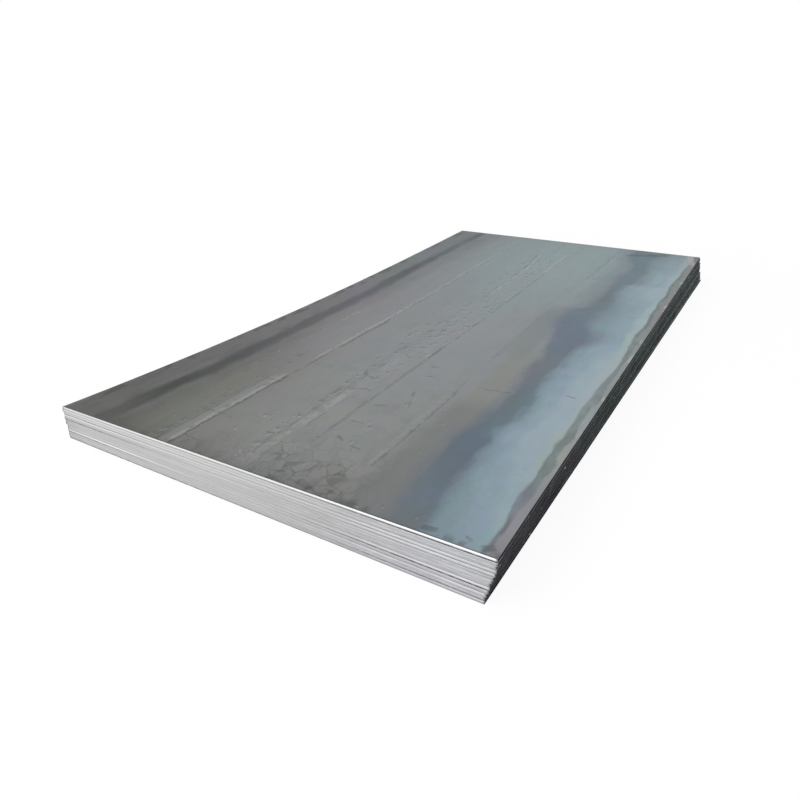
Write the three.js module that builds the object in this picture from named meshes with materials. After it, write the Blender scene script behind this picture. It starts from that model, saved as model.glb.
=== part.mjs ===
// A pack of hot-rolled steel sheets lying flat, one on another.
// Millimetres, +Z up. +X runs across the sheets and +Y along them. The origin lies
// under the middle of the pack, at the level the pack rests on.

import * as THREE from 'three';

// ---- One sheet
const sheetWidth = 1250;
const sheetLength = 2500;
const sheetThickness = 8;

// The two long sides are mill edges, left round by the rolls.
const millEdgeBulge = 1.8;
const millEdgeSteps = 3;
// A mill edge is never dead straight: the left one draws in by this about mid-length. The
// skew moves the deepest part of the bow towards the near end.
const leftEdgeBow = 48;
const leftEdgeSkew = 0.35;
const lengthSteps = 16;

// The two short sides are cut by a shear, which rounds the corners of the cut a little.
const shearRound = 0.6;
const shearRoundSteps = 2;

// ---- The pack
const sheetCount = 13;
// Sheets lie close on each other, but here and there one is held off by scale and waviness.
const closeGap = 0.3;
const openGap = 0.9;
const openGapUnder = [13, 10, 5, 2];

// Nobody squares a pack up exactly. Each value is the most that a sheet is off.
const nearEndScatter = 0.8;
const farEndScatter = 6;
const sideScatter = 1.5;
// Strip with mill edges varies in width. The top sheet is the narrowest.
const widthScatter = 8;
// The pack has slipped: each layer down is turned a little more clockwise, and stands a
// little further back.
const bottomTurn = THREE.MathUtils.degToRad(0.94);
const bottomSetback = 3;
const slipGrowth = 1.3;

const scaleColour = '#6f7a80';
const scaleRoughness = 0.5;
const scaleMetalness = 0.6;

// A repeatable value from 0 to 1 for a layer. Steps of the golden ratio keep neighbours apart.
function scatter(layer, start) {
  const goldenStep = (Math.sqrt(5) - 1) / 2;
  return (layer * goldenStep + start) % 1;
}

// Section across the sheet: flat faces between two rounded mill edges.
function sheetSection(width) {
  const flatHalf = width / 2 - millEdgeBulge;
  const middle = sheetThickness / 2;
  const section = new THREE.Shape();
  section.moveTo(-flatHalf, 0);
  section.lineTo(flatHalf, 0);
  section.absellipse(flatHalf, middle, millEdgeBulge, middle, -Math.PI / 2, Math.PI / 2);
  section.lineTo(-flatHalf, sheetThickness);
  section.absellipse(-flatHalf, middle, millEdgeBulge, middle, Math.PI / 2, 1.5 * Math.PI);
  return section;
}

// Draws the left mill edge in along its length. The right edge stays where it is.
function bowLeftEdge(geometry, width, length) {
  const place = geometry.attributes.position;
  for (let i = 0; i < place.count; i += 1) {
    const leftShare = THREE.MathUtils.clamp(0.5 - place.getX(i) / width, 0, 1);
    const along = (2 * place.getY(i)) / length;
    const bow = (1 - along * along) * (1 - leftEdgeSkew * along);
    place.setX(i, place.getX(i) + leftEdgeBow * bow * leftShare);
  }
}

// One sheet with its underside on z = 0, its middle on the Z axis and its length along Y.
function sheetGeometry(width, length) {
  const geometry = new THREE.ExtrudeGeometry(sheetSection(width), {
    depth: length - 2 * shearRound,
    steps: lengthSteps,
    curveSegments: millEdgeSteps,
    bevelEnabled: true,
    bevelThickness: shearRound,
    bevelSize: shearRound,
    bevelOffset: -shearRound,
    bevelSegments: shearRoundSteps,
  });
  geometry.rotateX(Math.PI / 2);
  geometry.translate(0, length / 2 - shearRound, 0);
  bowLeftEdge(geometry, width, length);
  return geometry;
}

function sheetMaterial() {
  return new THREE.MeshStandardMaterial({
    color: scaleColour,
    roughness: scaleRoughness,
    metalness: scaleMetalness,
  });
}

// Air under a layer. The bottom sheet lies on the floor.
function gapUnder(layer) {
  if (layer === 1) return 0;
  return openGapUnder.includes(layer) ? openGap : closeGap;
}

// A value from -1 to 1 for a layer. The top sheet lies true.
function stray(layer, start) {
  return layer === sheetCount ? 0 : 2 * scatter(layer, start) - 1;
}

// Layer 1 is the bottom sheet.
function makeSheet(layer, underside) {
  const depth = (sheetCount - layer) / Math.max(sheetCount - 1, 1);
  const slip = depth ** slipGrowth;
  const wider = (widthScatter / 2) * (1 + stray(layer, 0.35)) * Math.sign(depth);
  const nearEnd = -sheetLength / 2 + nearEndScatter * stray(layer, 0.2);
  const farEnd = sheetLength / 2 + farEndScatter * stray(layer, 0.55);
  const side = sideScatter * stray(layer, 0.8);

  const sheet = new THREE.Mesh(sheetGeometry(sheetWidth + wider, farEnd - nearEnd), sheetMaterial());
  sheet.name = `sheet_${String(layer).padStart(2, '0')}`;
  sheet.rotation.z = -bottomTurn * slip;
  sheet.position.set(side, (nearEnd + farEnd) / 2 + bottomSetback * slip, underside);
  return sheet;
}

const pack = new THREE.Group();
let level = 0;
for (let layer = 1; layer <= sheetCount; layer += 1) {
  level += gapUnder(layer);
  pack.add(makeSheet(layer, level));
  level += sheetThickness;
}

// The loose sheets reach out unevenly, so the whole pack is set square over the origin.
const reach = new THREE.Box3().setFromObject(pack).getCenter(new THREE.Vector3());
for (const sheet of pack.children) {
  sheet.position.x -= reach.x;
  sheet.position.y -= reach.y;
}

export default pack;
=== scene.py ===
import math
from functools import partial

import bpy
from mathutils import Matrix, Vector


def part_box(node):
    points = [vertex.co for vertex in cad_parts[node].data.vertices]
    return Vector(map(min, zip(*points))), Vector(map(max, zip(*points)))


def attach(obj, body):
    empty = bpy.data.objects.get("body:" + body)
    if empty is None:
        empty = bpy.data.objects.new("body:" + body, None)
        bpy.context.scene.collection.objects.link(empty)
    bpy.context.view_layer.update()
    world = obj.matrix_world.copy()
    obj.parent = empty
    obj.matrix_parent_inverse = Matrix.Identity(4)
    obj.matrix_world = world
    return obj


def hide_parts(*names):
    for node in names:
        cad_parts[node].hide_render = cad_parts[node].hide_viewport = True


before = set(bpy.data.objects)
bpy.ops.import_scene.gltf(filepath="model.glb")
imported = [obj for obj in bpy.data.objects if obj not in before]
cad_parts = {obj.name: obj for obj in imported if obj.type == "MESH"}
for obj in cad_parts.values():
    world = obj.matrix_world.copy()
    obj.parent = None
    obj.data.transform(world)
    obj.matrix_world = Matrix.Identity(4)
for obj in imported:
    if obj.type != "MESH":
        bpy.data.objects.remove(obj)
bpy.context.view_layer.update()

# ---------------------------------------------------------------------------------------
# The blank of every sheet.
# One rolled piece of low-carbon steel. A shear cuts its two short ends: the blade draws the
# upper corner down, leaves a bright land and breaks the rest off rough. The two long sides
# are mill edges, which the rolls leave round, dark and a little uneven.
# ---------------------------------------------------------------------------------------


def feed(socket, value):
    """Links value to the socket if it is a socket or a node, and otherwise sets it."""
    if isinstance(value, bpy.types.Node):
        value = value.outputs[0]
    if isinstance(value, bpy.types.NodeSocket):
        socket.id_data.links.new(value, socket)
    elif value is not None:
        socket.default_value = value


def add(tree, kind, settings=None, **inputs):
    """A node with its settings, and its inputs by name with _ for a space."""
    node = tree.nodes.new(kind)
    for name, value in (settings or {}).items():
        setattr(node, name, value)
    for name, value in inputs.items():
        feed(node.inputs[name.replace("_", " ")], value)
    return node


def tree_of(*values):
    """The node tree that the first socket among values is in."""
    return next(value.id_data for value in values if isinstance(value, bpy.types.NodeSocket))


def in_order(node, *values):
    """The node, with values fed to its inputs from the first one on."""
    for socket, value in zip(node.inputs, values):
        feed(socket, value)
    return node


def calc(operation, *operands, clamp=False):
    """The result of one Math node, in the tree of its operands."""
    settings = {"operation": operation, "use_clamp": clamp}
    return in_order(add(tree_of(*operands), "ShaderNodeMath", settings), *operands).outputs[0]


# Sums of one node each.
plus = partial(calc, "ADD")
minus = partial(calc, "SUBTRACT")
times = partial(calc, "MULTIPLY")
over = partial(calc, "DIVIDE")
most = partial(calc, "MAXIMUM")
size_of = partial(calc, "ABSOLUTE")


def remap(value, low, high, to_low=0.0, to_high=1.0, easing="SMOOTHSTEP", held=True):
    """value taken from low..high to to_low..to_high, and held at the ends unless told not to."""
    # The smooth step holds its own ends.
    settings = {"interpolation_type": easing, "clamp": held and easing == "LINEAR"}
    limits = {"From_Min": low, "From_Max": high, "To_Min": to_low, "To_Max": to_high}
    node = add(value.id_data, "ShaderNodeMapRange", settings, Value=value, **limits)
    return node.outputs["Result"]


# The same at an even pace.
straight = partial(remap, easing="LINEAR")


def noise(vector, scale, detail=2.0):
    """A noise with scale spots to the metre, each with detail layers of finer ones."""
    return add(
        vector.id_data, "ShaderNodeTexNoise", Vector=vector, Scale=scale, Detail=detail
    ).outputs[0]


def parts_of(vector):
    return add(vector.id_data, "ShaderNodeSeparateXYZ", Vector=vector).outputs


def tree_input(tree, name, kind, value=None):
    """Adds a named input with its usual value, and returns the name that modifiers know it by."""
    socket = tree.interface.new_socket(name=name, in_out="INPUT", socket_type=kind)
    if value is not None:
        socket.default_value = value
    return socket.identifier


def tree_output(tree, name, kind):
    tree.interface.new_socket(name=name, in_out="OUTPUT", socket_type=kind)


blank = bpy.data.node_groups.new("rolled and sheared sheet", "GeometryNodeTree")
blank_inputs = {
    name: tree_input(blank, name, kind, value)
    for name, kind, value in (
        ("Width", "NodeSocketFloat", 1.25),
        ("Length", "NodeSocketFloat", 2.5),
        ("Thickness", "NodeSocketFloat", 0.008),
        ("Levels", "NodeSocketInt", 9),
        ("Side Cuts", "NodeSocketInt", 139),
        ("Mill Bulge", "NodeSocketFloat", 0.0009),
        ("Mill Wander", "NodeSocketFloat", 0.0016),
        ("Left Bow", "NodeSocketFloat", 0.048),
        ("Bow Skew", "NodeSocketFloat", 0.35),
        ("Drawn Corner", "NodeSocketFloat", 0.0009),
        ("Rough Break", "NodeSocketFloat", 0.0005),
        ("Land", "NodeSocketVector", (0.0, 0.0, 0.0)),
        ("Foot", "NodeSocketVector", (0.0, 0.0, 0.0)),
        ("Seed", "NodeSocketFloat", 0.0),
        ("Face Material", "NodeSocketMaterial", None),
        ("Cut Material", "NodeSocketMaterial", None),
        ("Mill Material", "NodeSocketMaterial", None),
    )
}
tree_output(blank, "Geometry", "NodeSocketGeometry")
given = add(blank, "NodeGroupInput").outputs

# The outline, cut fine enough for the wander of the edges, and a wall raised along it.
outline = add(
    blank, "GeometryNodeCurvePrimitiveQuadrilateral", Width=given["Width"], Height=given["Length"]
)
fine = add(blank, "GeometryNodeSubdivideCurve", Curve=outline, Cuts=given["Side Cuts"])
upright = add(blank, "GeometryNodeSetCurveNormal", {"mode": "Z_UP"}, Curve=fine)
rise = add(blank, "ShaderNodeCombineXYZ", Y=times(given["Thickness"], -1.0))
post = add(blank, "GeometryNodeCurvePrimitiveLine", End=rise)
ladder = add(blank, "GeometryNodeResampleCurve", Curve=post, Count=given["Levels"])
swept = add(blank, "GeometryNodeCurveToMesh", Curve=upright, Profile_Curve=ladder)
wall = add(blank, "GeometryNodeFlipFaces", Mesh=swept)
lift = add(blank, "ShaderNodeCombineXYZ", Z=given["Thickness"])
face = add(blank, "GeometryNodeFillCurve", {"mode": "NGONS"}, Curve=fine)
top_face = add(blank, "GeometryNodeTransform", Geometry=face, Translation=lift)
under_face = add(blank, "GeometryNodeFlipFaces", Mesh=face)
shell = add(blank, "GeometryNodeJoinGeometry")
for part in (wall, top_face, under_face):
    feed(shell.inputs[0], part)
weld_reach = 0.00002
closed = add(blank, "GeometryNodeMergeByDistance", Geometry=shell, Distance=weld_reach)

# Which edge a point is on, and how high up the edge it is.
position = add(blank, "GeometryNodeInputPosition").outputs[0]
across, along, up = parts_of(position)
near_enough = 0.0005
half_width = times(given["Width"], 0.5)
half_length = times(given["Length"], 0.5)
mill_line = minus(half_width, near_enough)
cut_line = minus(half_length, near_enough)
on_mill = calc("GREATER_THAN", size_of(across), mill_line)
on_cut = calc("GREATER_THAN", size_of(along), cut_line)
height = over(up, given["Thickness"])
edge_place = add(blank, "ShaderNodeCombineXYZ", X=across, Y=along, Z=given["Seed"]).outputs[0]

# Mill edge: round in section, and uneven along its length in long and in short waves.
long_waves = 5.0
long_share = 0.6
short_waves = 28.0
short_share = 0.4
from_middle = minus(times(height, 2.0), 1.0)
squared = times(from_middle, from_middle)
half_round = calc("SQRT", minus(1.0, squared, clamp=True))
round_part = times(minus(1.0, half_round), given["Mill Bulge"])
long_wander = times(noise(edge_place, long_waves, 1.0), long_share)
short_wander = times(noise(edge_place, short_waves), short_share)
wander = plus(long_wander, short_wander)
mill_depth = plus(round_part, times(wander, given["Mill Wander"]))
inward_x = times(calc("SIGN", across), -1.0)
mill_shift = times(on_mill, times(inward_x, mill_depth))

# The bow of the left edge, which fades out towards the right edge and the corners.
along_share = over(along, half_length)
bow_along = minus(1.0, times(along_share, along_share), clamp=True)
bow_skew = minus(1.0, times(along_share, given["Bow Skew"]))
bow_along = times(bow_along, bow_skew)
across_share = over(across, given["Width"])
left_share = minus(0.5, across_share, clamp=True)
bow_shift = times(given["Left Bow"], times(left_share, bow_along))

# How much the land of the cut stands out, and how much dirt and painted shadow lie at its
# foot. Both are given at the left end of the cut, in its middle and at its right end.
right_share = plus(0.5, across_share, clamp=True)
left_part = remap(left_share, 0.55, 0.95)
right_part = remap(right_share, 0.5, 0.9)


def along_cut(name):
    at_left, at_middle, at_right = parts_of(given[name])
    to_left = times(minus(at_left, at_middle), left_part)
    to_right = times(minus(at_right, at_middle), right_part)
    return plus(at_middle, plus(to_left, to_right))


land_share = along_cut("Land")
foot_share = along_cut("Foot")

# Cut edge: a corner drawn down more in some places than in others, a straight land, and a
# break that falls back to the foot. The land's top and foot are shares of the thickness.
land_top = 0.82
land_foot = 0.55
drawn_patches = 2.6
least_drawn = 0.02
most_drawn = 0.18
drawn = calc("POWER", straight(height, land_top, 1.0), 2.0)
drawn_here = remap(noise(edge_place, drawn_patches), 0.42, 0.62, least_drawn, most_drawn)
drawn_here = most(drawn_here, land_share)
broken = straight(height, land_foot, 0.0)
cut_depth = plus(
    times(times(drawn, drawn_here), given["Drawn Corner"]),
    times(times(broken, drawn_here), given["Rough Break"]),
)
inward_y = times(calc("SIGN", along), -1.0)
cut_shift = times(on_cut, times(inward_y, cut_depth))
shift = add(blank, "ShaderNodeCombineXYZ", X=plus(mill_shift, bow_shift), Y=cut_shift)

# The points keep where they are on the edges and the faces keep which side they are on. Then
# the edges take their shape, and each face gets the finish of its side.
to_end = minus(half_width, size_of(across))
marked = closed
for name, value in (
    ("edge_height", height),
    ("edge_land", land_share),
    ("edge_foot", foot_share),
    ("edge_to_end", to_end),
):
    kept_at = {"data_type": "FLOAT", "domain": "POINT"}
    marked = add(
        blank, "GeometryNodeStoreNamedAttribute", kept_at, Geometry=marked, Name=name, Value=value
    )
sides = add(blank, "GeometryNodeCaptureAttribute", {"domain": "FACE"}, Geometry=marked)
for name, where in (("On Mill", on_mill), ("On Cut", on_cut)):
    sides.capture_items.new("FLOAT", name)
    feed(sides.inputs[name], where)
shaped = add(blank, "GeometryNodeSetPosition", Geometry=sides, Offset=shift)
finished = add(blank, "GeometryNodeRealizeInstances", Geometry=shaped)
for name, where in (
    ("Face Material", None),
    ("Mill Material", sides.outputs["On Mill"]),
    ("Cut Material", sides.outputs["On Cut"]),
):
    finished = add(
        blank, "GeometryNodeSetMaterial", Geometry=finished, Selection=where, Material=given[name]
    )
add(blank, "NodeGroupOutput", Geometry=finished)

# ---------------------------------------------------------------------------------------
# The cut ends' finish.
# Fresh sheared steel is bright. The land under the drawn corner is polished by the blade
# and partly painted as a highlight, the broken part below it is duller, and dirt and painted
# shadow gather at its foot.
# ---------------------------------------------------------------------------------------


def linear(shade):
    """One channel as a screen shows it, 0 to 255, as the linear light that shaders take."""
    share = shade / 255
    return share / 12.92 if share <= 0.04045 else ((share + 0.055) / 1.055) ** 2.4


def shade_of(red, green, blue):
    return (linear(red), linear(green), linear(blue), 1.0)


def stretch(vector, scales):
    """vector with each of its parts multiplied."""
    return add(vector.id_data, "ShaderNodeMapping", Vector=vector, Scale=scales).outputs[0]


def streaked(place, scales, detail=3.0):
    """A noise with its own scale across, along and up."""
    return noise(stretch(place, scales), 1.0, detail)


def mix(factor, first, second, blend="MIX"):
    """The colour of one Mix node."""
    settings = {"data_type": "RGBA", "blend_type": blend}
    node = add(tree_of(factor, first, second), "ShaderNodeMix", settings)
    feed(node.inputs[0], factor)
    feed(node.inputs[6], first)
    feed(node.inputs[7], second)
    return node.outputs[2]


def paint(under, cover, shade, strength=None):
    """under with shade over it, as much as cover says, or cover times a strength."""
    if strength is not None:
        cover = times(cover, strength)
    return mix(cover, under, shade)


def ramp(value, low, high, stops, colour=shade_of):
    """Colours at given values, blended between them. A stop is a value and a colour's parts."""
    share_of_range = straight(value, low, high, held=False)
    node = add(value.id_data, "ShaderNodeValToRGB")
    feed(node.inputs[0], share_of_range)
    elements = node.color_ramp.elements
    while len(elements) < len(stops):
        elements.new(1.0)
    for element, (at, *parts) in zip(elements, stops):
        element.position = (at - low) / (high - low)
        element.color = colour(*parts)
    return node.outputs[0]


def new_finish(name, roughness, metallic, shine):
    """A material, where each point of it is, and its shader. shine is how much it reflects."""
    material = bpy.data.materials.new(name)
    material.use_nodes = True
    tree = material.node_tree
    shader = tree.nodes["Principled BSDF"]
    shader.inputs["Roughness"].default_value = roughness
    shader.inputs["Metallic"].default_value = metallic
    shader.inputs["Specular IOR Level"].default_value = shine
    place = add(tree, "ShaderNodeTexCoord").outputs["Object"]
    return material, place, shader


def edge_value(shader, name):
    """What a sheet's mesh keeps at each point of its edges."""
    return add(shader.id_data, "ShaderNodeAttribute", {"attribute_name": name}).outputs["Fac"]


def add_bump(shader, height, strength, distance):
    bump = add(
        shader.id_data, "ShaderNodeBump", Strength=strength, Distance=distance, Height=height
    )
    feed(shader.inputs["Normal"], bump)


def add_group(group, place, **values):
    """The outputs of a shader group at a place, with its other inputs as add takes them."""
    return add(
        place.id_data, "ShaderNodeGroup", {"node_tree": group}, Place=place, **values
    ).outputs


def new_group(name, inputs, outputs):
    """A shader group that takes a place and some values, and what it is given."""
    group = bpy.data.node_groups.new(name, "ShaderNodeTree")
    tree_input(group, "Place", "NodeSocketVector")
    for input_name, value in inputs.items():
        tree_input(group, input_name, "NodeSocketFloat", value)
    for output_name in outputs:
        tree_output(group, output_name, "NodeSocketFloat")
    return group, add(group, "NodeGroupInput").outputs


# Streaks left by rolling or by the shear, mottling and fine grain, for every finish.
grain, grain_given = new_group(
    "steel grain",
    {"Streaks Across": 60.0, "Streaks Along": 1.2, "Mottle Scale": 9.0, "Fine Scale": 220.0},
    ("Streaks", "Mottle", "Fine"),
)
streak_factors = add(
    grain,
    "ShaderNodeCombineXYZ",
    X=grain_given["Streaks Across"],
    Y=grain_given["Streaks Along"],
    Z=grain_given["Streaks Across"],
)
add(
    grain,
    "NodeGroupOutput",
    Streaks=streaked(grain_given["Place"], streak_factors),
    Mottle=noise(grain_given["Place"], grain_given["Mottle Scale"], 3.0),
    Fine=noise(grain_given["Place"], grain_given["Fine Scale"]),
)

cut_steel, place, shader = new_finish("sheared steel", roughness=0.5, metallic=0.25, shine=0.3)
x, _, z = parts_of(place)
height = edge_value(shader, "edge_height")
land_share = edge_value(shader, "edge_land")
foot_share = edge_value(shader, "edge_foot")
rough = add_group(grain, place, Fine_Scale=420.0)["Fine"]
cut_half = 0.625
body = ramp(x, -cut_half, cut_half, (
    (-cut_half, 166, 166, 166), (-0.56, 177, 177, 177), (-0.3, 178, 178, 178),
    (0.0, 176, 176, 176), (0.2, 171, 171, 171), (0.32, 169, 168, 171),
    (0.45, 173, 174, 178), (0.56, 176, 177, 182), (cut_half, 168, 170, 172),
))
# Towards its right end the pack was cut less cleanly: the shear's scores are deeper there,
# the break is blotched, and the metal has taken a faint tint.
coarse_full = 0.42
lilac_top = 0.055
lilac_full = 0.02
coarse = remap(x, 0.0, coarse_full)
lilac = times(coarse, remap(z, lilac_top, lilac_full))
body = paint(body, lilac, shade_of(174, 168, 177), 0.4)
blots = streaked(place, (16.0, 16.0, 80.0))
blot_depth = straight(coarse, 0.0, 1.0, 0.03, 0.12)
blot = times(remap(blots, 0.62, 0.36), blot_depth)
body = paint(body, blot, shade_of(110, 110, 114))
# The scores run along the cut, so they are long across the sheet and fine in height.
for scales, dark_share, light_share in (
    ((9.0, 9.0, 520.0), 0.16, 0.22), ((36.0, 36.0, 430.0), 0.3, 0.3)
):
    scores = streaked(place, scales)
    depth = straight(coarse, 0.0, 1.0, 0.25, 1.0)
    dark = times(remap(scores, 0.45, 0.3, 0.0, dark_share), depth)
    light = times(remap(scores, 0.55, 0.7, 0.0, light_share), depth)
    body = paint(body, dark, shade_of(112, 112, 116))
    body = paint(body, light, shade_of(226, 226, 230))
# The polished land under the upper corner, painted as a highlight, brightest where the cut
# stands out.
land = times(remap(height, 0.36, 0.56), remap(height, 1.0, 0.93))
land_parts = streaked(place, (5.0, 5.0, 60.0), 2.0)
land_here = times(land_share, remap(land_parts, 0.3, 0.6, 0.6, 1.0))
land_here = most(land_here, remap(land_parts, 0.5, 0.7, 0.0, 0.16))
body = paint(body, times(land, land_here), shade_of(246, 246, 245))
# Painted shadow and dirt at the foot of the cut, in dots and dashes.
foot_parts = streaked(place, (70.0, 70.0, 60.0), 2.0)
foot_here = times(foot_share, remap(foot_parts, 0.3, 0.6, 0.5, 1.0))
foot_top = straight(foot_share, 0.0, 1.0, 0.2, 0.55)
foot = times(remap(height, foot_top, 0.12), foot_here)
body = paint(body, foot, shade_of(58, 58, 61))
# Where there is no painted shadow or dirt, the burrs at the two corners get a painted highlight.
burr_highlight = most(remap(height, 0.86, 1.0), remap(height, 0.16, 0.0))
burr_highlight = times(burr_highlight, minus(1.0, foot_share, clamp=True))
body = paint(body, burr_highlight, shade_of(232, 232, 233), 0.55)
# Scale from the mill edge laps round the ends of the cut.
lap_spots = 130.0
lap_wander = 0.002
lap_reach = 0.0045
lap_full = 0.001
end_noise = straight(noise(place, lap_spots), 0.3, 0.7, -lap_wander, lap_wander)
lapped = remap(plus(edge_value(shader, "edge_to_end"), end_noise), lap_reach, lap_full)
body = paint(body, lapped, shade_of(84, 84, 86), 0.75)
feed(shader.inputs["Base Color"], body)
add_bump(shader, times(rough, minus(1.0, land)), strength=0.2, distance=0.0003)

# ---------------------------------------------------------------------------------------
# The mill edges' finish.
# The long sides are never cut. They keep a thick, nearly black scale with small chips that
# show lighter metal, and grey dust. Their near-black is partly the scale's own colour and partly
# painted shade.
# ---------------------------------------------------------------------------------------


def channels_of(colour):
    return add(colour.id_data, "ShaderNodeSeparateColor", Color=colour).outputs


mill_scale, place, shader = new_finish(
    "mill edge scale", roughness=0.85, metallic=0.0, shine=0.04
)
_, y, z = parts_of(place)
mottle = add_group(grain, place, Mottle_Scale=16.0)["Mottle"]
hue = streaked(place, (1.0, 3.4, 5.0))
mill_half = 1.25
# Partly the scale's own dark colour and partly painted shade.
dark = ramp(y, -mill_half, mill_half, (
    (-mill_half, 50, 49, 53), (-0.75, 51, 51, 55), (-0.45, 49, 58, 54),
    (0.3, 54, 62, 60), (mill_half, 58, 64, 63),
))
dark = paint(dark, remap(hue, 0.56, 0.64, 0.0, 0.5), shade_of(57, 52, 57))
dark = paint(dark, remap(mottle, 0.5, 0.7, 0.0, 0.34), shade_of(82, 87, 85))
dark = paint(dark, remap(mottle, 0.48, 0.32, 0.0, 0.6), shade_of(26, 26, 28))
# Painted shadow of the pack itself on the lowest edges, with dirt from the floor.
shadow_and_dirt_top = 0.014
shadow_and_dirt_full = 0.002
dark = paint(dark, remap(z, shadow_and_dirt_top, shadow_and_dirt_full, 0.0, 0.7), shade_of(22, 23, 24))
chip_cells = add(
    place.id_data, "ShaderNodeTexVoronoi", Vector=stretch(place, (1.0, 0.6, 1.5)), Scale=75.0
).outputs
chip_pick = channels_of(chip_cells["Color"])[0]
chipped_from = 0.96
chip = times(
    remap(chip_cells["Distance"], 0.3, 0.16), calc("GREATER_THAN", chip_pick, chipped_from)
)
dark = paint(dark, chip, shade_of(176, 178, 176), 0.9)
feed(shader.inputs["Base Color"], dark)
add_bump(shader, mottle, strength=0.3, distance=0.001)

# ---------------------------------------------------------------------------------------
# The scale on the sheets below the top one.
# Hot rolling leaves a thin blue-grey oxide on both faces, with small flakes out of it. Only
# the rims of these faces ever show, and the underside of the bottom one.
# ---------------------------------------------------------------------------------------


def vector_calc(operation, *operands):
    """The results of one Vector Math node, in the tree of its operands."""
    settings = {"operation": operation}
    node = add(tree_of(*operands), "ShaderNodeVectorMath", settings)
    return in_order(node, *operands).outputs


# Short marks, each turned its own way, where a flake of scale came off or was rolled in.
flakes, flake_given = new_group(
    "scale flakes", {"Density": 26.0, "Mark Length": 0.02, "Mark Width": 0.005}, ("Mark", "Pick")
)
cells = add(
    flakes, "ShaderNodeTexVoronoi", Vector=flake_given["Place"], Scale=flake_given["Density"]
).outputs
turn, pick, size = channels_of(cells["Color"])
from_cell = vector_calc("SUBTRACT", flake_given["Place"], cells["Position"])[0]
half_turn = times(turn, math.pi)
about_z = {"rotation_type": "Z_AXIS"}
turned = add(flakes, "ShaderNodeVectorRotate", about_z, Vector=from_cell, Angle=half_turn)
mark_x, mark_y, _ = parts_of(turned.outputs[0])
least_mark = 0.25
most_mark = 0.6
grow = straight(size, 0.0, 1.0, least_mark, most_mark, held=False)
mark_reach = times(flake_given["Mark Length"], grow)
mark_half = times(flake_given["Mark Width"], grow)
edge_soft = 0.0012
in_length = remap(minus(size_of(mark_x), mark_reach), edge_soft, -edge_soft)
in_width = remap(minus(size_of(mark_y), mark_half), edge_soft, -edge_soft)
add(flakes, "NodeGroupOutput", Mark=times(in_length, in_width), Pick=pick)

# Chips of scale that have lifted: a dark chip with painted shade, and beside it a painted
# highlight on the side that would catch the light.
chips, chip_given = new_group(
    "lifted chips", {"Across": 34.0, "Along": 22.0, "Threshold": 0.7}, ("Dark", "Lit")
)
chip_factors = add(
    chips, "ShaderNodeCombineXYZ", X=chip_given["Across"], Y=chip_given["Along"], Z=30.0
)
chip_place = stretch(chip_given["Place"], chip_factors)
lit_step = (-0.34, 0.30, 0.0)
lit_place = vector_calc("ADD", chip_place, lit_step)[0]
chip_edge = 0.045
sides = []
for side_place in (chip_place, lit_place):
    lifted = minus(noise(side_place, 1.0, 3.0), chip_given["Threshold"])
    sides.append(remap(lifted, 0.0, chip_edge))
unshaded = minus(1.0, sides[0])
add(chips, "NodeGroupOutput", Dark=sides[0], Lit=times(sides[1], unshaded))

plain_scale, place, shader = new_finish(
    "rolling scale", roughness=0.5, metallic=0.15, shine=0.25
)
streaks, mottle, rough = add_group(
    grain, place, Streaks_Across=45.0, Streaks_Along=0.8, Mottle_Scale=5.0, Fine_Scale=160.0
)
mark, pick = add_group(flakes, place, Density=18.0, Mark_Length=0.024, Mark_Width=0.006)
body = mix(mottle, shade_of(108, 113, 117), shade_of(134, 142, 145))
body = paint(body, remap(streaks, 0.45, 0.75, 0.0, 0.6), shade_of(96, 100, 104))
flaked_from = 0.8
flaked = times(mark, calc("GREATER_THAN", pick, flaked_from))
body = paint(body, flaked, shade_of(78, 82, 84), 0.6)
# The shear strips the scale off the rims that it draws down.
stripped_from = 1.230
stripped_to = 1.234
_, y, _ = parts_of(place)
stripped = remap(size_of(y), stripped_from, stripped_to)
body = paint(body, stripped, shade_of(186, 186, 186))
feed(shader.inputs["Base Color"], body)
add_bump(shader, rough, strength=0.15, distance=0.0004)

# ---------------------------------------------------------------------------------------
# The scale on the top sheet.
# The same oxide seen over a whole sheet: dark towards the left edge, with lines left by the
# rolls, flakes and crazing, and heat tints where it cooled last, along the right edge.
# ---------------------------------------------------------------------------------------


def measure_blank(name):
    """A sheet's middle, turn and sizes, and the bow of its left edge, from its solid."""
    low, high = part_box(name)
    corners = [vertex.co.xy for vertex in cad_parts[name].data.vertices]
    near_right = max(corners, key=lambda corner: corner.x - corner.y)
    far_right = max(corners, key=lambda corner: corner.x + corner.y)
    side = far_right - near_right
    turn = math.atan2(-side.x, side.y)
    square = [Matrix.Rotation(-turn, 2) @ corner for corner in corners]
    left, right = min(p.x for p in square), max(p.x for p in square)
    near, far = min(p.y for p in square), max(p.y for p in square)
    middle = Matrix.Rotation(turn, 2) @ Vector(((left + right) / 2, (near + far) / 2))
    # How far the left edge is drawn in at a quarter, the half and three quarters of the length.
    beside = 0.04
    draws = [
        min(p.x for p in square if abs(p.y - near - part * (far - near)) < beside) - left
        for part in (0.25, 0.5, 0.75)
    ]
    # At both quarters the bow has this share of its depth. The skew adds half of itself at the
    # near one and takes as much off at the far one.
    at_quarters = 0.75
    return {
        "middle": middle,
        "turn": turn,
        "foot": low.z,
        "width": right - left,
        "length": far - near,
        "thickness": high.z - low.z,
        "bow": draws[1],
        "skew": (draws[0] - draws[2]) / (at_quarters * draws[1]),
    }


top_low, top_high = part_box("sheet_13")
top_blank = measure_blank("sheet_13")
sheet_length = top_high.y - top_low.y
top_scale, top_place, shader = new_finish(
    "heat-tinted scale", roughness=0.48, metallic=0.12, shine=0.2
)
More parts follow.
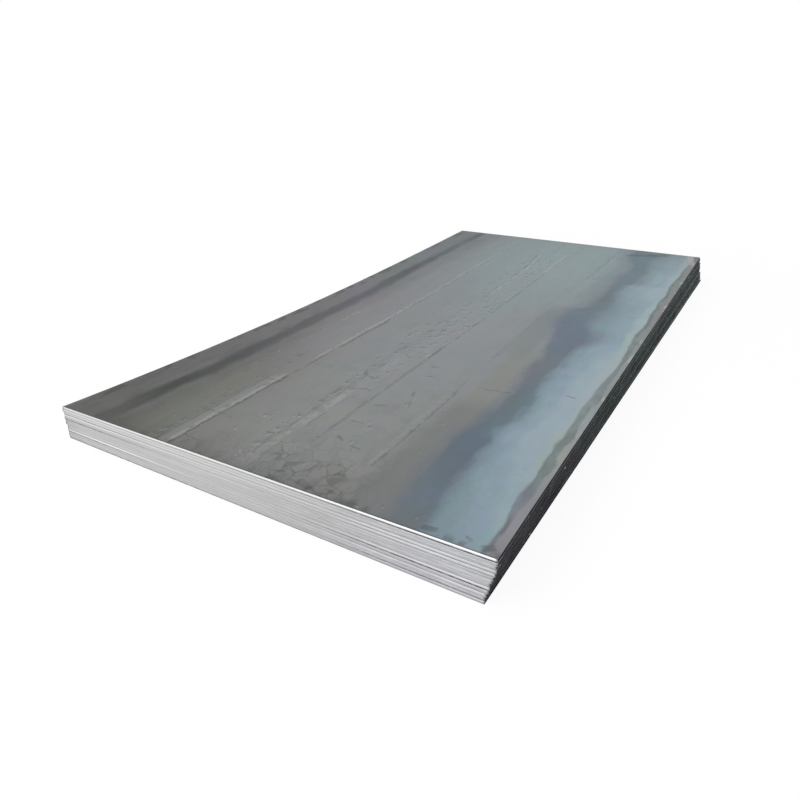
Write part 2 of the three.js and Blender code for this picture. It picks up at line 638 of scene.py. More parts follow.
# Where a point is, in metres from the left edge and from the near cut, and as a share of the
# length. Every place named further down is given so.
x, y, _ = parts_of(top_place)
across = minus(x, top_low.x)
along = minus(y, top_low.y)
share = over(along, sheet_length)
black = (0.0, 0.0, 0.0, 1.0)


def colour_noise(scales, detail):
    """A noise in three independent channels, stretched by scales."""
    vector = stretch(top_place, scales)
    return add(
        vector.id_data, "ShaderNodeTexNoise", Vector=vector, Scale=1.0, Detail=detail
    ).outputs["Color"]


def three_noises(scales, detail):
    return channels_of(colour_noise(scales, detail))


def between(value, start, stop, soft):
    """1 where value is from start to stop, and 0 beyond them."""
    rise = remap(value, start - soft, start)
    fall = remap(value, stop + soft, stop)
    return times(rise, fall)


def in_area(across_range, along_range):
    """1 inside two ranges, each as between takes them: a start, a stop and a softness."""
    return times(between(across, *across_range), between(along, *along_range))


def swing(pattern, low, high):
    """A noise spread from low to high."""
    return remap(pattern, 0.2, 0.8, low, high)


def jitter(value, pattern, reach):
    """value moved to and fro by a noise, by as much as reach."""
    return plus(value, swing(pattern, -reach, reach))


def apart(first, second):
    """How far two values are apart, whichever is the greater."""
    return size_of(minus(first, second))


def factors(red, green, blue):
    """Shares to multiply a colour's red, green and blue by."""
    return (red, green, blue, 1.0)


def tinted(under, shares):
    """under with each channel multiplied by its share."""
    return mix(1.0, under, shares, "MULTIPLY")


def dimmed(under, level):
    """under at a level, where 1 leaves it as it is and more makes it lighter."""
    return mix(level, black, under)


def speckled(under, strength, scales, detail):
    """under with faint spots of every hue."""
    return mix(strength, under, colour_noise(scales, detail), "SOFT_LIGHT")


def by_length(stops, colour=shade_of):
    """Colours by the share of the sheet's length."""
    return ramp(share, 0.0, 1.0, stops, colour)


def course(low, high, stops):
    """Where across the sheet something lies, by the share of the length, from low to high."""
    node = add(share.id_data, "ShaderNodeFloatCurve")
    points = node.mapping.curves[0].points
    heights = [(at, (where - low) / (high - low)) for at, where in stops]
    points[0].location = heights[0]
    points[1].location = heights[-1]
    for at, height in heights[1:-1]:
        points.new(at, height)
    node.mapping.update()
    feed(node.inputs["Value"], share)
    return straight(node.outputs[0], 0.0, 1.0, low, high, held=False)


streaks, _, rough = add_group(
    grain, top_place, Streaks_Across=38.0, Streaks_Along=0.9, Fine_Scale=170.0
)
patches, hue, cloud = three_noises((5.5, 2.0, 5.0), 3.0)
smudge, fray, feather = three_noises((36.0, 13.0, 20.0), 3.0)
brush, brush_out, brush_rim = three_noises((16.0, 6.0, 10.0), 4.0)

# The open middle of the sheet: neutral grey in front, bluer and a little lighter behind.
body = by_length((
    (0.0, 104, 105, 104), (0.02, 114, 115, 114), (0.06, 120, 122, 121), (0.12, 122, 124, 124),
    (0.3, 123, 127, 129), (0.45, 124, 129, 132), (0.6, 122, 133, 136), (0.75, 124, 139, 142),
    (0.9, 122, 140, 143), (1.0, 121, 137, 140),
))

# Towards the left edge the scale is thicker and darker, brownest in front.
dark_reach = 0.65
front_dark = ramp(across, 0.0, dark_reach, (
    (0.0, 0.36, 0.36, 0.34), (0.1, 0.40, 0.39, 0.38), (0.2, 0.42, 0.42, 0.38),
    (0.24, 0.48, 0.47, 0.41), (0.28, 0.59, 0.58, 0.51), (0.34, 0.63, 0.62, 0.57),
    (0.38, 0.74, 0.73, 0.69), (0.43, 0.83, 0.81, 0.78), (0.5, 0.91, 0.89, 0.87),
    (0.62, 1.0, 1.0, 1.0),
), factors)
back_dark = ramp(across, 0.0, dark_reach, (
    (0.0, 0.48, 0.42, 0.43), (0.1, 0.51, 0.46, 0.47), (0.2, 0.62, 0.55, 0.56),
    (0.24, 0.69, 0.62, 0.62), (0.28, 0.82, 0.75, 0.76), (0.37, 0.89, 0.84, 0.85),
    (0.5, 0.92, 0.90, 0.91), (0.62, 1.0, 1.0, 1.0),
), factors)
darkness = mix(remap(share, 0.1, 0.38), front_dark, back_dark)
body = tinted(body, darkness)

# Its hue and its level wander, and two lanes of it are a little lighter.
body = paint(body, swing(hue, 0.0, 0.1), shade_of(118, 130, 122))
body = paint(body, remap(cloud, 0.5, 0.68, 0.0, 0.16), shade_of(124, 120, 128))
body = speckled(body, 0.1, (15.0, 6.0, 10.0), 2.0)
shading = swing(patches, 0.93, 1.07)
for pattern, low, high in ((streaks, 1.05, 0.95), (smudge, 0.94, 1.06), (rough, 0.92, 1.08)):
    shading = times(shading, swing(pattern, low, high))
left_part = remap(across, 0.42, 0.1)
mottle_reach = 0.12
left_mottle = times(left_part, swing(fray, -mottle_reach, mottle_reach))
shading = times(shading, plus(1.0, left_mottle))
front_lane = in_area((0.41, 0.53, 0.05), (0.20, 0.58, 0.12))
long_lane = in_area((0.40, 0.44, 0.04), (0.30, 1.60, 0.15))
lighter = most(front_lane, long_lane)
lighter_by = 0.075
shading = times(shading, calc("MULTIPLY_ADD", lighter, lighter_by, 1.0))
body = dimmed(body, shading)

# One dark stripe, dirty blue in parts, follows the left edge.
stripe_place = course(0.08, 0.2, (
    (0.0, 0.148), (0.05, 0.150), (0.1, 0.157), (0.16, 0.171), (0.25, 0.172), (0.38, 0.173),
    (0.5, 0.170), (0.6, 0.157), (0.68, 0.149), (0.75, 0.146), (0.85, 0.135), (0.95, 0.133),
    (1.0, 0.122),
))
stripe_half = remap(share, 0.55, 0.9, 0.026, 0.019)
stripe_off = apart(across, stripe_place)
stripe_off = jitter(stripe_off, brush, 0.006)
stripe_off = jitter(stripe_off, fray, 0.004)
stripe_soft = 0.016
stripe = remap(minus(stripe_off, stripe_half), stripe_soft, -stripe_soft)
stripe_shade = by_length((
    (0.0, 0.70, 0.70, 0.66), (0.05, 0.50, 0.50, 0.47), (0.1, 0.28, 0.28, 0.28),
    (0.15, 0.38, 0.38, 0.37), (0.2, 0.40, 0.42, 0.48), (0.25, 0.46, 0.51, 0.52),
    (0.32, 0.52, 0.52, 0.53), (0.4, 0.54, 0.50, 0.62), (0.5, 0.54, 0.52, 0.68),
    (0.57, 0.42, 0.48, 0.47), (0.68, 0.37, 0.34, 0.42), (0.8, 0.40, 0.50, 0.54),
    (0.9, 0.62, 0.61, 0.68), (0.97, 0.32, 0.36, 0.48),
), factors)
body = paint(body, stripe, tinted(body, stripe_shade))

# Lines of the rolls. Each has its place across where it starts and where it stops, its half
# width, its shade and strength, its reach along the sheet, and how broken it is.
pale = shade_of(158, 160, 158)
deep = shade_of(58, 61, 62)
roll_lines = (
    (0.258, 0.266, 0.0040, pale, 0.40, 0.40, 1.20, 0.54),
    (0.374, 0.375, 0.0170, pale, 0.14, 0.00, 0.42, 0.38),
    (0.387, 0.388, 0.0060, pale, 0.30, 0.00, 0.44, 0.42),
    (0.392, 0.401, 0.0050, pale, 0.34, 0.62, 1.15, 0.40),
    (0.400, 0.387, 0.0040, pale, 0.42, 1.10, 1.70, 0.44),
    (0.383, 0.380, 0.0044, pale, 0.38, 1.65, 2.47, 0.47),
    (0.357, 0.360, 0.0020, deep, 0.40, 0.00, 0.42, 0.49),
    (0.396, 0.400, 0.0026, deep, 0.62, 0.00, 0.42, 0.40),
    (0.402, 0.412, 0.0022, deep, 0.62, 0.42, 0.98, 0.42),
    (0.411, 0.393, 0.0020, deep, 0.50, 0.98, 1.70, 0.46),
    (0.393, 0.388, 0.0022, deep, 0.46, 1.70, 2.47, 0.49),
    (0.616, 0.620, 0.0110, pale, 0.20, 0.20, 0.44, 0.46),
    (0.612, 0.626, 0.0150, pale, 0.13, 0.00, 0.76, 0.48),
    (0.600, 0.604, 0.0020, deep, 0.40, 0.10, 0.70, 0.51),
    (0.630, 0.640, 0.0018, deep, 0.34, 0.06, 0.66, 0.51),
    (0.608, 0.599, 0.0050, pale, 0.38, 1.50, 1.92, 0.46),
    (0.600, 0.572, 0.0044, pale, 0.42, 1.90, 2.17, 0.44),
    (0.598, 0.589, 0.0022, deep, 0.40, 1.55, 1.92, 0.48),
    (0.589, 0.561, 0.0022, deep, 0.42, 1.90, 2.17, 0.46),
    (0.696, 0.699, 0.0048, deep, 0.30, 0.20, 0.86, 0.42),
    (0.699, 0.703, 0.0024, deep, 0.52, 0.80, 1.20, 0.46),
    (0.703, 0.697, 0.0022, deep, 0.48, 1.20, 2.20, 0.46),
    (0.688, 0.692, 0.0034, pale, 0.30, 0.80, 2.00, 0.52),
    (0.686, 0.690, 0.0045, pale, 0.38, 1.92, 2.22, 0.44),
    (0.868, 0.866, 0.0050, pale, 0.13, 0.18, 0.56, 0.44),
    (0.879, 0.882, 0.0022, deep, 0.34, 0.17, 0.58, 0.40),
    (0.877, 0.875, 0.0026, deep, 0.20, 0.56, 1.30, 0.50),
    (0.884, 0.890, 0.0060, shade_of(98, 104, 118), 0.40, 1.90, 2.50, 0.44),
)
wiggle_noise = streaked(top_place, (28.0, 4.5, 10.0))
coarse_breaks = streaked(top_place, (34.0, 12.0, 10.0), 2.0)
fine_breaks = streaked(top_place, (70.0, 46.0, 10.0), 2.0)
breaks = plus(times(coarse_breaks, 0.5), times(fine_breaks, 0.5))
line_wiggle = 0.003
from_line = jitter(across, wiggle_noise, line_wiggle)
from_line = jitter(from_line, fine_breaks, line_wiggle)
line_soft = 0.0016
line_fade = 0.04
# A line is at its full shade over half of its half width, and gone a little beyond the whole.
full_within = 0.5
gone_beyond = 1.3
broken_below = 0.05
whole_above = 0.08
relief = 0.0
for near_place, far_place, half_width, shade, strength, start, stop, broken in roll_lines:
    centre = straight(along, start, stop, near_place, far_place, held=False)
    off = apart(from_line, centre)
    line = remap(off, half_width * gone_beyond + line_soft, half_width * full_within)
    line = times(line, between(along, start, stop, line_fade))
    line = times(line, remap(breaks, broken - broken_below, broken + whole_above))
    body = paint(body, line, shade, strength)
    if shade == deep:
        relief = most(relief, line)

# Olive and brown before the tints in the front half, and grey-green in the middle.
olive = in_area((0.93, 0.98, 0.04), (0.58, 0.92, 0.14))
olive = times(olive, remap(patches, 0.4, 0.6, 0.4, 1.0))
body = paint(body, olive, shade_of(113, 118, 108), 0.45)
brown = in_area((0.93, 1.01, 0.06), (0.10, 0.50, 0.12))
body = paint(body, brown, shade_of(99, 102, 101), 0.62)
grey_green = in_area((0.88, 0.94, 0.03), (1.0, 1.35, 0.15))
body = paint(body, grey_green, shade_of(104, 112, 110), 0.45)

# Heat tints: the scale turns slate and blue along one ragged line, and pale along another.
tint_start = course(0.9, 1.15, (
    (0.0, 0.990), (0.03, 0.992), (0.06, 0.990), (0.1, 0.985), (0.14, 0.982), (0.17, 0.990),
    (0.2, 1.000), (0.24, 1.005), (0.28, 1.003), (0.32, 1.000), (0.36, 0.998), (0.4, 0.992),
    (0.44, 0.975), (0.47, 0.955), (0.5, 0.945), (0.54, 0.940), (0.575, 0.945), (0.59, 0.965),
    (0.61, 0.995), (0.66, 0.995), (0.7, 0.998), (0.745, 0.998), (0.765, 0.988), (0.79, 0.990),
    (0.82, 1.005), (0.86, 1.000), (0.9, 0.985), (0.94, 0.965), (0.97, 0.955), (1.0, 0.985),
))
pale_start = course(0.9, 1.15, (
    (0.0, 1.086), (0.03, 1.083), (0.06, 1.076), (0.1, 1.075), (0.13, 1.071), (0.155, 1.066),
    (0.175, 1.050), (0.19, 1.058), (0.21, 1.076), (0.25, 1.084), (0.28, 1.074), (0.31, 1.074),
    (0.34, 1.070), (0.38, 1.078), (0.42, 1.078), (0.45, 1.087), (0.48, 1.094), (0.5, 1.084),
    (0.53, 1.060), (0.56, 1.056), (0.6, 1.060), (0.64, 1.057), (0.67, 1.052), (0.7, 1.046),
    (0.74, 1.050), (0.765, 1.086), (0.8, 1.087), (0.84, 1.087), (0.88, 1.078), (0.92, 1.072),
    (0.96, 1.087), (1.0, 1.110),
))
# How soon the tint turns pale past that line.
pale_pace = course(0.4, 2.0, (
    (0.0, 0.8), (0.08, 1.0), (0.16, 1.5), (0.24, 1.7), (0.4, 1.5), (0.47, 0.9), (0.56, 0.6),
    (0.64, 0.65), (0.7, 1.1), (0.8, 1.2), (0.9, 0.55), (1.0, 0.6),
))
ragged = jitter(swing(brush, -0.012, 0.012), feather, 0.007)
past_start = minus(plus(across, ragged), tint_start)
ragged_pale = jitter(swing(brush_out, -0.009, 0.009), feather, -0.008)
past_pale = minus(plus(across, ragged_pale), pale_start)
past_pale = times(past_pale, pale_pace)
full_pale = 0.13
slate = by_length((
    (0.0, 95, 101, 104), (0.05, 91, 104, 113), (0.09, 86, 99, 109), (0.14, 83, 96, 109),
    (0.24, 89, 101, 109), (0.36, 92, 103, 111), (0.47, 84, 99, 118), (0.52, 82, 99, 116),
    (0.57, 88, 106, 116), (0.66, 82, 100, 108), (0.8, 90, 109, 118), (0.9, 77, 106, 114),
    (0.96, 72, 101, 107), (1.0, 68, 88, 92),
))
slate = paint(slate, remap(past_start, 0.03, -0.03, 0.0, 0.7), shade_of(105, 107, 112))
slate = paint(slate, remap(cloud, 0.48, 0.64, 0.0, 0.25), shade_of(102, 102, 116))
slate = paint(slate, remap(hue, 0.5, 0.64, 0.0, 0.35), shade_of(88, 110, 116))
pale_blue = ramp(past_pale, -0.02, full_pale, (
    (-0.02, 94, 109, 121), (0.0, 103, 120, 131), (0.022, 115, 134, 144), (0.042, 121, 140, 151),
    (0.062, 126, 145, 157), (0.1, 130, 149, 160), (full_pale, 140, 156, 165),
))
pale_level = by_length((
    (0.0, 0.90, 0.88, 0.84), (0.03, 0.96, 0.95, 0.93), (0.1, 0.965, 0.97, 0.97),
    (0.17, 0.955, 0.955, 0.965), (0.25, 1.0, 1.0, 1.0), (0.9, 0.96, 1.0, 0.97),
    (0.98, 0.84, 0.88, 0.83),
), factors)
pale_blue = tinted(pale_blue, pale_level)
tints = mix(remap(past_pale, -0.03, 0.006), slate, pale_blue)
tints = speckled(tints, 0.14, (26.0, 12.0, 10.0), 3.0)
tint_level = times(swing(smudge, 0.95, 1.05), swing(brush_rim, 0.95, 1.05))
tint_level = times(tint_level, swing(rough, 0.95, 1.05))
tints = dimmed(tints, tint_level)
approach = times(remap(past_start, -0.1, -0.02), remap(share, 0.35, 0.6))
body = paint(body, approach, shade_of(98, 109, 119), 0.55)
body = paint(body, remap(past_start, -0.03, 0.022), tints)

# Rim along the right edge: a pale line, a dark ragged band, a plain strip, and a painted
# highlight in bits along the very edge.
rim_place = course(1.19, 1.24, (
    (0.0, 1.219), (0.03, 1.217), (0.08, 1.214), (0.25, 1.214), (0.35, 1.217), (0.45, 1.219),
    (0.55, 1.215), (0.7, 1.214), (0.85, 1.218), (0.93, 1.222), (1.0, 1.226),
))
rim_place = jitter(rim_place, brush_rim, 0.006)
rim_place = jitter(rim_place, fray, 0.004)
past_rim = minus(across, rim_place)
before_rim = jitter(past_rim, brush_out, 0.014)
pale_line = times(remap(before_rim, -0.036, -0.010), remap(share, 0.05, 0.16))
pale_line_shade = by_length((
    (0.1, 138, 154, 148), (0.22, 144, 158, 152), (0.3, 146, 158, 164), (0.4, 147, 158, 160),
    (0.47, 147, 163, 158), (0.6, 146, 166, 170), (0.72, 140, 156, 164), (0.85, 138, 158, 160),
    (0.95, 138, 150, 150),
))
body = paint(body, times(pale_line, swing(brush_out, 0.55, 0.9)), pale_line_shade)
band = by_length((
    (0.0, 96, 97, 104), (0.08, 102, 104, 112), (0.12, 96, 106, 105), (0.3, 104, 113, 114),
    (0.5, 96, 104, 105), (0.6, 84, 94, 94), (0.85, 82, 94, 92), (1.0, 104, 104, 106),
))
strip = by_length((
    (0.0, 119, 119, 124), (0.04, 129, 130, 135), (0.085, 126, 127, 132), (0.12, 129, 134, 132),
    (0.16, 138, 143, 139), (0.2, 134, 139, 135), (0.245, 135, 144, 146), (0.3, 128, 135, 135),
    (0.42, 129, 134, 134), (0.5, 120, 126, 127), (0.6, 116, 120, 120), (0.7, 119, 120, 121),
    (0.8, 112, 118, 118), (0.9, 116, 119, 118), (1.0, 112, 112, 112),
))
band_reach = course(0.0, 0.03, (
    (0.0, 0.021), (0.08, 0.022), (0.16, 0.021), (0.3, 0.020), (0.5, 0.014), (0.7, 0.010),
    (1.0, 0.010),
))
band_reach = jitter(band_reach, smudge, 0.004)
body = paint(body, times(remap(past_rim, -0.005, 0.003), swing(fray, 0.6, 1.0)), band)
past_band = minus(past_rim, times(band_reach, remap(share, 0.04, 0.12, 0.3, 1.0)))
body = paint(body, remap(past_band, -0.003, 0.005), strip)
# The painted highlight along the very edge.
bright_from = 1.236
bright_to = 1.243
edge_highlight = times(remap(across, bright_from, bright_to), remap(smudge, 0.54, 0.64))
edge_highlight = times(edge_highlight, remap(share, 0.1, 0.3))
body = paint(body, edge_highlight, shade_of(168, 170, 168), 0.6)

# Lifted chips along the middle lanes and the roll lines, and a few anywhere else.
middle_lane = in_area((0.56, 0.66, 0.05), (0.62, 2.15, 0.2))
dense_lane = in_area((0.55, 0.65, 0.04), (0.80, 1.12, 0.12))
in_front = times(between(across, 0.3, 0.9, 0.14), remap(along, 0.8, 0.1))
lane = most(times(middle_lane, 0.92), times(in_front, 0.4))
lane = times(lane, remap(patches, 0.35, 0.55, 0.6, 1.0))
lane = most(lane, dense_lane)
# Each of these lines of chips has its place across, half width, start, stop and strength.
bead_soft = 0.008
bead_fade = 0.05
chip_lines = (
    (0.335, 0.009, 0.02, 0.60, 1.20),
    (0.258, 0.010, 0.42, 0.95, 0.90),
    (0.585, 0.009, 0.00, 0.64, 1.10),
    (0.692, 0.010, 0.80, 1.75, 0.85),
    (0.395, 0.008, 0.60, 1.60, 0.70),
    (0.510, 0.025, 0.10, 0.26, 0.70),
)
for line_across, half_width, start, stop, strength in chip_lines:
    beside = apart(across, line_across)
    beads = times(remap(beside, half_width + bead_soft, half_width), strength)
    beads = times(beads, between(along, start, stop, bead_fade))
    lane = most(lane, beads)
fullest_lane = 1.2
few_chips = 0.725
many_chips = 0.55
lane = calc("MINIMUM", lane, fullest_lane)
threshold = straight(lane, 0.0, fullest_lane, few_chips, many_chips, held=False)
chip_dark, chip_lit = add_group(chips, top_place, Across=56.0, Along=40.0, Threshold=threshold)
lit_strength = remap(across, 0.3, 0.5, 0.10, 0.26)
lit_shade = shade_of(158, 161, 162)
dark_shade = shade_of(74, 77, 79)
# The lit sides are a painted highlight, and the dark sides are darker scale with painted shade.
body = paint(body, times(chip_lit, lit_strength), lit_shade)
body = paint(body, chip_dark, dark_shade, 0.36)
rarer = 0.03
fine_dark, fine_lit = add_group(
    chips, top_place, Across=110.0, Along=75.0, Threshold=plus(threshold, rarer)
)
body = paint(body, times(fine_lit, lit_strength), lit_shade)
body = paint(body, fine_dark, dark_shade, 0.34)
mark, pick = add_group(flakes, top_place, Density=22.0, Mark_Length=0.030, Mark_Width=0.007)
flakes_in_lane = 0.10
mark = times(mark, calc("LESS_THAN", pick, times(lane, flakes_in_lane)))
mark = times(mark, remap(smudge, 0.35, 0.6, 0.2, 1.0))
body = paint(body, mark, shade_of(70, 74, 76), 0.45)
chip_relief = 0.4
flaked = most(mark, times(chip_dark, chip_relief))

# Crazing in front, where the scale cracked as the sheet was flattened.
wander = colour_noise((11.0, 11.0, 11.0), 2.0)
wander_reach = (0.045, 0.045, 0.0)
warped = vector_calc("MULTIPLY_ADD", wander, wander_reach, top_place)[0]
plate_place = stretch(warped, (30.0, 24.0, 20.0))


def plates(feature):
    """The plates that the scale cracked into, as cells of a pattern."""
    settings = {"feature": feature}
    return add(
        plate_place.id_data, "ShaderNodeTexVoronoi", settings, Vector=plate_place, Scale=1.0
    ).outputs


craze = plates("DISTANCE_TO_EDGE")["Distance"]
plate_tone = channels_of(plates("F1")["Color"])[0]
plates_where = times(between(across, 0.45, 0.88, 0.12), remap(along, 1.1, 0.5))
tone_reach = 0.12
plate_tone = minus(plate_tone, 0.5)
plate_tone = calc("MULTIPLY_ADD", plate_tone, times(plates_where, tone_reach), 1.0)
body = dimmed(body, plate_tone)
craze_reach = jitter(along, cloud, 0.03)
craze_where = times(between(across, 0.66, 0.84, 0.06), remap(craze_reach, 0.17, 0.08))
sparse = times(between(across, 0.62, 0.90, 0.06), remap(craze_reach, 0.30, 0.16, 0.0, 0.35))
craze_where = most(craze_where, sparse)
craze_parts = remap(coarse_breaks, 0.30, 0.52, 0.15, 1.0)
craze_width = swing(fray, 0.015, 0.08)
crack_soft = 0.03
crack_full = 0.02
crack = times(remap(minus(craze, craze_width), crack_soft, -crack_full), craze_where)
crack = times(crack, craze_parts)
body = paint(body, crack, shade_of(58, 60, 60), 0.4)
# Between and beside the cracks some scale has come off in blotches.
blotch = times(remap(smudge, 0.50, 0.62), remap(fine_breaks, 0.40, 0.56, 0.3, 1.0))
blotch = times(blotch, most(times(craze_where, 0.6), remap(along, 0.12, 0.0)))
blotch = times(blotch, between(across, 0.42, 0.90, 0.1))
body = paint(body, blotch, shade_of(64, 66, 66), 0.4)

# Single marks: a chip, a scratch or a gouge, by its place across and along, its turn in
# degrees, and its half length and half width.
single_marks = (
    (0.590, 0.585, -60, 0.016, 0.0060),
    (0.625, 0.562, -45, 0.014, 0.0050),
    (0.625, 0.480, 20, 0.024, 0.0024),
    (0.656, 0.490, -18, 0.016, 0.0024),
    (0.584, 0.420, 85, 0.040, 0.0044),
    (0.735, 0.315, 2, 0.019, 0.0032),
    (0.738, 0.425, 16, 0.018, 0.0030),
    (0.803, 0.468, 105, 0.017, 0.0040),
    (0.748, 0.722, 4, 0.012, 0.0040),
    (0.766, 0.655, 30, 0.012, 0.0030),
    (0.745, 0.226, -35, 0.015, 0.0034),
    (0.802, 0.206, -12, 0.016, 0.0026),
    (0.704, 0.036, 16, 0.022, 0.0044),
    (0.792, 0.022, -25, 0.024, 0.0100),
    (0.960, 0.655, 6, 0.040, 0.0026),
    (1.004, 0.662, 10, 0.012, 0.0050),
    (1.165, 0.722, -6, 0.014, 0.0034),
    (0.372, 0.182, 1, 0.044, 0.0026),
    (0.378, 0.412, 2, 0.034, 0.0028),
    (0.425, 0.050, -4, 0.034, 0.0020),
    (0.530, 2.255, -60, 0.014, 0.0040),
    (1.098, 0.020, 10, 0.018, 0.0080),
    (1.222, 0.022, 40, 0.014, 0.0090),
    (1.178, 0.030, -30, 0.010, 0.0036),
)
mark_soft = 0.002
tip_from = 0.006
tip_to = 0.004
ragged = jitter(swing(fray, -mark_soft, mark_soft), fine_breaks, mark_soft)
scored = 0.0
for mark_across, mark_along, turn, half_reach, half_width in single_marks:
    aside = minus(across, mark_across)
    ahead = minus(along, mark_along)
    cosine, sine = math.cos(math.radians(turn)), math.sin(math.radians(turn))
    lengthwise = plus(times(aside, cosine), times(ahead, sine))
    crosswise = minus(times(ahead, cosine), times(aside, sine))
    crosswise = plus(crosswise, ragged)
    reached = remap(size_of(lengthwise), half_reach + tip_to, half_reach - tip_from)
    within = remap(size_of(crosswise), half_width + mark_soft, half_width - mark_soft)
    scored = most(scored, times(reached, within))
scored = times(scored, remap(coarse_breaks, 0.3, 0.55, 0.45, 1.0))
body = paint(body, scored, shade_of(62, 65, 66), 0.45)
flaked = most(flaked, scored)

# Dirt and a bruised tint along the left edge, which is drawn in as a shallow bow.
centred = minus(times(share, 2.0), 1.0)
bow = minus(1.0, times(centred, centred))
bow = times(bow, minus(1.0, times(centred, top_blank["skew"])))
from_edge = minus(across, times(bow, top_blank["bow"]))
bruise = most(between(along, 1.26, 1.40, 0.04), between(along, 1.96, 2.06, 0.04))
bruise = times(bruise, remap(from_edge, 0.1, 0.06))
body = paint(body, bruise, shade_of(99, 96, 114), 0.5)
dirt_reach = swing(fray, 0.0, 0.05)
edge_dirt = remap(minus(from_edge, dirt_reach), 0.002, -0.012)
edge_dirt = times(edge_dirt, remap(fray, 0.50, 0.58))
body = paint(body, edge_dirt, shade_of(44, 44, 42), 0.6)
edge_light = times(remap(from_edge, 0.02, 0.006), remap(fray, 0.46, 0.36))
body = paint(body, edge_light, shade_of(120, 120, 118), 0.3)

# Darker just inside the two cuts, a dark smear near the far one, and a pale and a dark
# streak at its right corner.
patchy_cut_darkening = times(remap(along, 0.03, 0.004), remap(fray, 0.48, 0.6))
cut_darkening = most(patchy_cut_darkening, remap(along, 0.007, 0.003))
body = paint(body, cut_darkening, shade_of(66, 66, 66), 0.5)
from_far = minus(sheet_length, along)
far_greying = times(remap(from_far, 0.07, 0.01), remap(smudge, 0.4, 0.6))
body = paint(body, far_greying, shade_of(116, 116, 120), 0.5)
smear_slant = -0.5
smear_from = 1.900
slanted = calc("MULTIPLY_ADD", across, smear_slant, minus(along, smear_from))
far_smear = times(between(slanted, -0.012, 0.014, 0.016), between(across, 0.96, 1.09, 0.04))
far_smear = times(far_smear, remap(smudge, 0.3, 0.55, 0.5, 1.0))
body = paint(body, far_smear, shade_of(50, 66, 70), 0.7)
corner_slant = 0.2
slanted = calc("MULTIPLY_ADD", along, corner_slant, minus(across, 0.5))
at_corner = times(remap(from_far, 0.22, 0.14), remap(fray, 0.3, 0.5, 0.6, 1.0))
far_pale = times(between(slanted, 1.196, 1.210, 0.012), at_corner)
body = paint(body, far_pale, shade_of(154, 152, 154), 0.7)
far_dark = times(between(slanted, 1.224, 1.28, 0.008), at_corner)
body = paint(body, far_dark, shade_of(88, 88, 90), 0.6)
feed(shader.inputs["Base Color"], body)
# The deep lines, the flakes and the cracks lie below the grain of the scale.
relief = most(relief, most(flaked, crack))
grain_relief = 0.25
relief = minus(times(rough, grain_relief), relief)
add_bump(shader, relief, strength=0.4, distance=0.0008)

# ---------------------------------------------------------------------------------------
# The thirteen sheets.
# Each is a blank of its own, laid loose on the one below, so every sheet takes its size and
# its place in the pack from its own solid. Only the top one shows its face.
# ---------------------------------------------------------------------------------------

# How much the land of a sheet's cut was burnished and painted as a highlight, and how much
# dirt and painted shadow lies at its foot, each at the left end, in the middle and at the right
# end. The others have neither.
cut_looks = {
    13: ((0.45, 0.60, 0.92), (0.30, 0.45, 0.95)),
    12: ((0.35, 0.20, 0.05), (0.10, 0.05, 0.00)),
    11: ((0.30, 0.28, 0.05), (0.75, 0.10, 0.05)),
    10: ((0.40, 0.18, 0.30), (0.00, 0.00, 0.55)),
    9: ((0.00, 0.00, 0.40), (0.90, 0.05, 0.05)),
    5: ((0.00, 0.00, 0.45), (0.00, 0.10, 1.00)),
    4: ((0.85, 0.05, 0.10), (0.80, 0.05, 0.20)),
    3: ((0.00, 0.00, 0.35), (0.30, 0.05, 0.05)),
    2: ((0.25, 0.00, 0.10), (0.10, 0.05, 0.75)),
    1: ((0.00, 0.00, 0.00), (0.90, 0.80, 0.50)),
}
no_looks = ((0.0, 0.0, 0.0), (0.0, 0.0, 0.0))
seed_step = 7.3


def new_object(name, data):
    """An object in the scene."""
    made = bpy.data.objects.new(name, data)
    bpy.context.scene.collection.objects.link(made)
    return made


def lay_sheet(number, count):
    name = f"sheet_{number:02d}"
    sizes = measure_blank(name)
    is_top = number == count
    land_looks, foot_looks = cut_looks.get(number, no_looks)
    stock = new_object("stock", bpy.data.meshes.new("stock"))
    form = stock.modifiers.new("blank", "NODES")
    form.node_group = blank
    for input_name, value in (
        ("Width", sizes["width"]),
        ("Length", sizes["length"]),
        ("Thickness", sizes["thickness"]),
        ("Left Bow", sizes["bow"]),
        ("Bow Skew", sizes["skew"]),
        ("Land", land_looks),
        ("Foot", foot_looks),
        ("Seed", number * seed_step),
        ("Face Material", top_scale if is_top else plain_scale),
        ("Cut Material", cut_steel),
        ("Mill Material", mill_scale),
    ):
        form[blank_inputs[input_name]] = value
    scene_graph = bpy.context.evaluated_depsgraph_get()
    mesh = bpy.data.meshes.new_from_object(stock.evaluated_get(scene_graph))
    bpy.data.objects.remove(stock)
    mesh.name = f"steel_{name}"
    # The mesh comes with an empty slot in front of its three materials.
    if mesh.materials[0] is None:
        mesh.materials.pop(index=0)
    lift = Matrix.Translation((*sizes["middle"], sizes["foot"]))
    mesh.transform(lift @ Matrix.Rotation(sizes["turn"], 4, "Z"))
    sheet = new_object(f"steel_{name}", mesh)
    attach(sheet, "root")
    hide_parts(name)


sheet_count = len(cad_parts)
for number in range(1, sheet_count + 1):
    lay_sheet(number, sheet_count)

# ---------------------------------------------------------------------------------------
# The floor and the light.
# A plain white studio floor that runs out of sight, one broad soft lamp and an even sky.
# ---------------------------------------------------------------------------------------


def seen_directly(tree):
    """1 for what the camera sees straight, mirrored or through glass."""
    rays = add(tree, "ShaderNodeLightPath").outputs
    mirrored = most(rays["Is Glossy Ray"], rays["Is Transmission Ray"])
    return most(rays["Is Camera Ray"], mirrored)


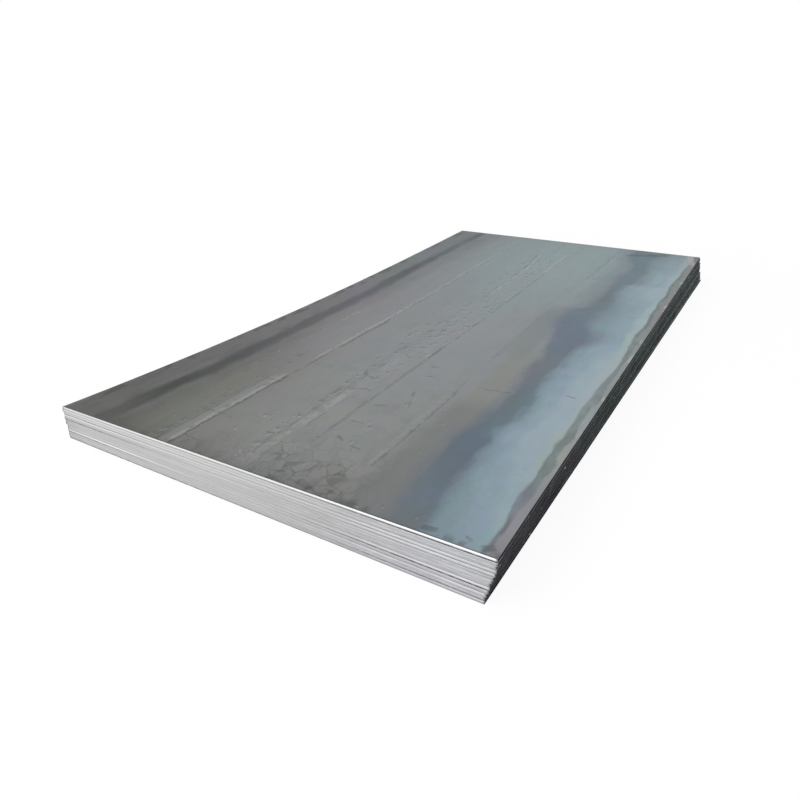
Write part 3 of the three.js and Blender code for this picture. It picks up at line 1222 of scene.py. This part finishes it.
floor_reach = 40.0
floor_mesh = bpy.data.meshes.new("studio_floor")
floor_mesh.from_pydata(
    [(sx * floor_reach, sy * floor_reach, 0.0) for sx, sy in ((-1, -1), (1, -1), (1, 1), (-1, 1))],
    [],
    [(0, 1, 2, 3)],
)
floor = new_object("studio_floor", floor_mesh)
# Near the pack the floor shows its shadow. Further out it fades into the plain background.
paper = bpy.data.materials.new("white paper")
paper.use_nodes = True
paper_tree = paper.node_tree
paper_tree.nodes.clear()
floor_place = add(paper_tree, "ShaderNodeTexCoord").outputs["Object"]
distance = vector_calc("LENGTH", floor_place)["Value"]
fade_from = 1.3
fade_to = 3.0
near_glow = 0.92
glow_share = remap(distance, fade_from, fade_to, near_glow, 1.0)
matt = add(paper_tree, "ShaderNodeBsdfDiffuse", Color=shade_of(248, 248, 248))
glow = add(paper_tree, "ShaderNodeEmission", Color=(1.0, 1.0, 1.0, 1.0), Strength=1.0)
blended = add(paper_tree, "ShaderNodeMixShader")
in_order(blended, times(seen_directly(paper_tree), glow_share), matt, glow)
add(paper_tree, "ShaderNodeOutputMaterial", Surface=blended)
floor_mesh.materials.append(paper)

sky_light = 0.8
sky = bpy.data.worlds.new("even sky")
bpy.context.scene.world = sky
sky.use_nodes = True
background = sky.node_tree.nodes["Background"]
background.inputs["Color"].default_value = (1.0, 1.0, 1.0, 1.0)
sky_level = straight(seen_directly(sky.node_tree), 0.0, 1.0, sky_light, 1.0)
feed(background.inputs["Strength"], sky_level)

lamp_data = bpy.data.lights.new("soft lamp", "AREA")
lamp_data.shape = "RECTANGLE"
lamp_data.size = 5.0
lamp_data.size_y = 4.0
lamp_data.energy = 220.0
lamp = new_object("soft lamp", lamp_data)
lamp.location = (-2.5, -4.5, 4.5)
lamp_aim = Vector((0.0, 0.0, 0.05)) - lamp.location
lamp.rotation_euler = lamp_aim.to_track_quat("-Z", "Y").to_euler()

# ---------------------------------------------------------------------------------------
# The camera.
# A short lens above the near right corner of the pack, looking down along it.
# ---------------------------------------------------------------------------------------

image_size = 800
focal_pixels = 656.1
view_turn = math.radians(30.20)
view_down = math.radians(26.46)
view_roll = math.radians(-0.34)
top_middle = (top_low + top_high) / 2
camera_data = bpy.data.cameras.new("camera")
camera_data.sensor_width = 36.0
camera_data.lens = camera_data.sensor_width * focal_pixels / image_size
camera_data.clip_end = 200.0
camera = new_object("camera", camera_data)
aim = (
    Matrix.Rotation(view_turn, 4, "Z")
    @ Matrix.Rotation(math.pi / 2 - view_down, 4, "X")
    @ Matrix.Rotation(view_roll, 4, "Z")
)
stand_right = 0.943
stand_back = 2.148
stand_over = 0.792
stand = Vector(
    (top_middle.x + stand_right, top_middle.y - stand_back, top_high.z + stand_over)
)
camera.matrix_world = Matrix.Translation(stand) @ aim
bpy.context.scene.camera = camera
bpy.context.scene.view_settings.view_transform = "Standard"
